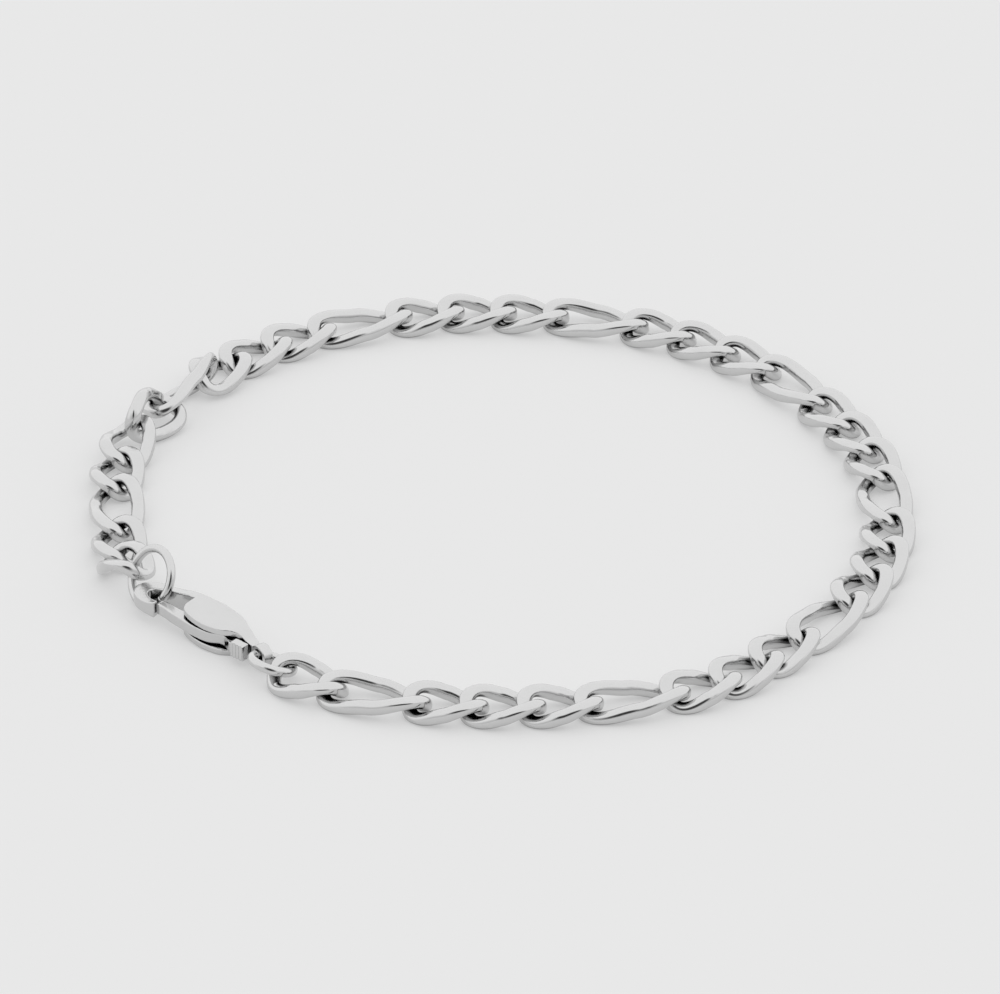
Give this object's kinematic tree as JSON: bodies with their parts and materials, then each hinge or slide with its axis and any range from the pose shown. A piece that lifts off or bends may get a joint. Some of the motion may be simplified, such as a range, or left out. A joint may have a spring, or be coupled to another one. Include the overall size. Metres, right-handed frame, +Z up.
{
  "type": "link bracelet",
  "caption": "Bracelet of twisted, flattened steel links in a pattern of short and long ones, closed round the wrist by a sprung hook clasp and two plain rings.",
  "frame": {"origin": "middle of the closed loop's outline, on the surface it lies on", "axes": "+Z is up, the clasp is at -X -Y, the loop's longer way across is close to Y"},
  "size_m": [0.0732, 0.0742, 0.0052],
  "materials": {
    "links": "polished stainless steel, no plating",
    "clasp": "polished stainless steel, no plating"
  },
  "bodies": {
    "bracelet": {"link_01": "links", "link_02": "links", "link_03": "links", "link_04": "links", "link_05": "links", "link_06": "links", "link_07": "links", "link_08": "links", "link_09": "links", "link_10": "links", "link_11": "links", "link_12": "links", "link_13": "links", "link_14": "links", "link_15": "links", "link_16": "links", "link_17": "links", "link_18": "links", "link_19": "links", "link_20": "links", "link_21": "links", "link_22": "links", "link_23": "links", "link_24": "links", "link_25": "links", "link_26": "links", "link_27": "links", "link_28": "links", "link_29": "links", "link_30": "links", "link_31": "links", "link_32": "links", "link_33": "links", "link_34": "links", "link_35": "links", "link_36": "links", "jump_ring": "clasp", "tail_ring": "clasp", "clasp_body": "clasp", "lever_pin": "clasp"},
    "lever": {"clasp_lever": "clasp"}
  },
  "joints": [
    {"name": "clasp_lever", "type": "hinge", "parent": "bracelet", "child": "lever", "pos_m": [-0.02446, -0.02254, 0.00138], "axis": [0.0214, -0.018, 0.9996], "range_deg": [-11, 0], "stiffness_Nm_per_rad": 0.02, "springref_deg": 6.88}
  ]
}
